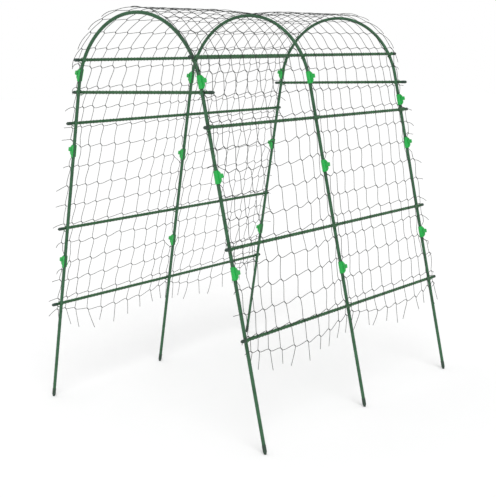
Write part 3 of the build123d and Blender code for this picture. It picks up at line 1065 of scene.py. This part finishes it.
class MakeStage(bpy.types.Operator):
    """Make the pale floor, the soft studio light and the camera"""

    bl_idname = "trellis.make_stage"
    bl_label = "Stage"

    def execute(self, context):
        settings = context.scene.trellis_stage
        self.make_floor(context, settings)
        self.make_light(context, settings)
        self.make_camera(context, settings)
        return {"FINISHED"}

    def make_floor(self, context, settings):
        """Make a wide floor just under the feet."""
        mesh = bpy.data.meshes.new("studio_floor")
        corners = [(-1, -1), (1, -1), (1, 1), (-1, 1)]
        points = [(FLOOR_REACH * x, FLOOR_REACH * y, -FLOOR_DROP) for x, y in corners]
        mesh.from_pydata(points, [], [(0, 1, 2, 3)])
        floor = bpy.data.objects.new("studio_floor", mesh)
        context.scene.collection.objects.link(floor)
        material, tree, shader, place = new_material("pale floor")
        speck = noise_value(tree, place, 3.0)
        pale = tuple(settings.floor_colour)
        colour = mixed_colour(tree, speck, shade(pale, 0.985), pale)
        tree.links.new(colour, shader.inputs["Base Color"])
        shader.inputs["Roughness"].default_value = 0.9
        mesh.materials.append(material)

    def make_light(self, context, settings):
        """Make the white surround, a wide key light and a weaker fill."""
        world = bpy.data.worlds.new("white studio")
        world.use_nodes = True
        sky = world.node_tree.nodes["Background"]
        sky.inputs["Color"].default_value = (1.0, 1.0, 1.0, 1.0)
        seen = add_node(world.node_tree, "ShaderNodeLightPath").outputs["Is Camera Ray"]
        strength = add_node(world.node_tree, "ShaderNodeMapRange", {"Value": seen})
        strength.inputs["To Min"].default_value = settings.sky_strength
        strength.inputs["To Max"].default_value = 1.0
        world.node_tree.links.new(strength.outputs["Result"], sky.inputs["Strength"])
        context.scene.world = world
        context.scene.view_settings.view_transform = "Standard"
        for name, place, width, energy in SUNS:
            light = bpy.data.lights.new(name, "SUN")
            light.angle = math.radians(width)
            light.energy = energy
            lamp = bpy.data.objects.new(name, light)
            lamp.location = place
            lamp.rotation_euler = (-lamp.location).to_track_quat("-Z", "Y").to_euler()
            context.scene.collection.objects.link(lamp)

    def make_camera(self, context, settings):
        """Make the camera from its place and its three turns."""
        yaw, dip, roll = settings.camera_yaw, settings.camera_dip, settings.camera_roll
        ahead = Vector((-math.sin(yaw) * math.cos(dip), math.cos(yaw) * math.cos(dip), -math.sin(dip)))
        level = Vector((math.cos(yaw), math.sin(yaw), 0.0))
        above = level.cross(ahead)
        right = math.cos(roll) * level + math.sin(roll) * above
        up = -math.sin(roll) * level + math.cos(roll) * above
        turn = Matrix((right, up, -ahead)).transposed()
        data = bpy.data.cameras.new("studio_camera")
        data.sensor_fit = "HORIZONTAL"
        data.sensor_width = 36.0
        data.lens = settings.camera_lens
        data.clip_end = 100.0
        camera = bpy.data.objects.new("studio_camera", data)
        camera.matrix_world = Matrix.Translation(settings.camera_place) @ turn.to_4x4()
        context.scene.collection.objects.link(camera)
        context.scene.camera = camera


class CoatHoops(bpy.types.Operator):
    """Coat the legs and bows, and grow the nubs of their coating"""

    bl_idname = "trellis.coat_hoops"
    bl_label = "Hoops"

    def execute(self, context):
        settings = context.scene.trellis_coating
        coating = coated_steel("hoop coating", tuple(settings.tube_green), 0.42)
        for hoop in HOOPS:
            dress([f"{hoop}_{side}_{part}" for side in SIDES for part in ("leg", "bow")], coating)
            stretches = hoop_stretches(hoop)
            piece = make_nubs(f"{hoop}_hoop_nubs", stretches, "tube", arch.tube_radius, coating)
        return {"FINISHED"}


class CoatRods(bpy.types.Operator):
    """Coat the side rods and cross-bars, and grow the nubs of their coating"""

    bl_idname = "trellis.coat_rods"
    bl_label = "Rods and Bars"

    def execute(self, context):
        settings = context.scene.trellis_coating
        coating = coated_steel("rod coating", tuple(settings.rod_green), 0.40)
        for side in SIDES:
            dress([f"{side}_{level}_rod" for level in ROD_LEVELS], coating)
            stretches = [line for level in ROD_LEVELS for line in rod_stretches(side, level)]
            piece = make_nubs(f"{side}_rod_nubs", stretches, "rod", arch.rod_radius, coating)
        for hoop in ("front", "back"):
            dress([f"{hoop}_cross_bar"], coating)
            stretches = bar_stretches(hoop)
            piece = make_nubs(f"{hoop}_bar_nubs", stretches, "rod", arch.rod_radius, coating)
        return {"FINISHED"}


class FinishFittings(bpy.types.Operator):
    """Finish the joiners, the ties, the rod caps and the foot caps"""

    bl_idname = "trellis.finish_fittings"
    bl_label = "Joiners, Ties and Caps"

    def execute(self, context):
        coating = context.scene.trellis_coating
        fittings = context.scene.trellis_clips
        dress([f"{hoop}_hoop_joiners" for hoop in HOOPS], plated_steel("plated joiner steel"))
        tie = moulded_plastic("tie plastic", tuple(fittings.tie_green), 0.38)
        dress([f"{hoop}_hoop_ties" for hoop in HOOPS], tie)
        dress(["rod_end_caps"], moulded_plastic("rod cap plastic", tuple(coating.cap_green), 0.55))
        dress(["foot_caps"], moulded_plastic("foot cap plastic", tuple(fittings.foot_green), 0.5))
        return {"FINISHED"}


class FinishClips(bpy.types.Operator):
    """Finish the moulded net clips"""

    bl_idname = "trellis.finish_clips"
    bl_label = "Net Clips"

    def execute(self, context):
        settings = context.scene.trellis_clips
        plastic = moulded_plastic("clip plastic", tuple(settings.clip_green), 0.33, 0.15)
        for hoop in HOOPS:
            for side in SIDES:
                dress([f"{hoop}_{side}_{level}_clip" for level in LEVELS], plastic)
        return {"FINISHED"}


class KnotNet(bpy.types.Operator):
    """Knot the net over both sides and the roof"""

    bl_idname = "trellis.knot_net"
    bl_label = "Net"

    def execute(self, context):
        settings = context.scene.trellis_net
        twine = twisted_twine("net twine", tuple(settings.twine_colour), PLY_LENGTH)
        maker = NetMaker(settings)
        lines, keys = net_lines(maker)
        for part, name, node in (
            ("left", "left_side_net", "net_left_side"),
            ("roof", "roof_net", "net_roof"),
            ("right", "right_side_net", "net_right_side"),
        ):
            piece = net_piece(name, maker, lines[part], keys[part], settings, twine)
            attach(piece, "frame")
            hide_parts(node)
        return {"FINISHED"}


class TrellisPanel(bpy.types.Panel):
    """Lists the settings and the steps of the trellis arch"""

    bl_idname = "TRELLIS_PT_arch"
    bl_label = "Garden Trellis Arch"
    bl_space_type = "VIEW_3D"
    bl_region_type = "UI"
    bl_category = "Trellis"

    def draw(self, context):
        for group, steps in STEPS.items():
            box = self.layout.box()
            settings = getattr(context.scene, group)
            for name in settings.__annotations__:
                box.prop(settings, name)
            for step in steps:
                box.operator(step.bl_idname)


STEPS = {
    "trellis_stage": (MakeStage,),
    "trellis_coating": (CoatHoops, CoatRods),
    "trellis_clips": (FinishFittings, FinishClips),
    "trellis_net": (KnotNet,),
}
SETTINGS = {
    "trellis_stage": StageSettings,
    "trellis_coating": CoatingSettings,
    "trellis_clips": ClipSettings,
    "trellis_net": NetSettings,
}


def register():
    """Register the settings, the operators and the panel."""
    for name, group in SETTINGS.items():
        bpy.utils.register_class(group)
        setattr(bpy.types.Scene, name, bpy.props.PointerProperty(type=group))
    for steps in STEPS.values():
        for step in steps:
            bpy.utils.register_class(step)
    bpy.utils.register_class(TrellisPanel)


def unregister():
    """Take away what register() added."""
    bpy.utils.unregister_class(TrellisPanel)
    for steps in STEPS.values():
        for step in steps:
            bpy.utils.unregister_class(step)
    for name, group in SETTINGS.items():
        delattr(bpy.types.Scene, name)
        bpy.utils.unregister_class(group)


def main():
    """Run every step in order."""
    register()
    bpy.ops.trellis.make_stage()
    bpy.ops.trellis.coat_hoops()
    bpy.ops.trellis.coat_rods()
    bpy.ops.trellis.finish_fittings()
    bpy.ops.trellis.finish_clips()
    bpy.ops.trellis.knot_net()


if __name__ == "__main__":
    main()
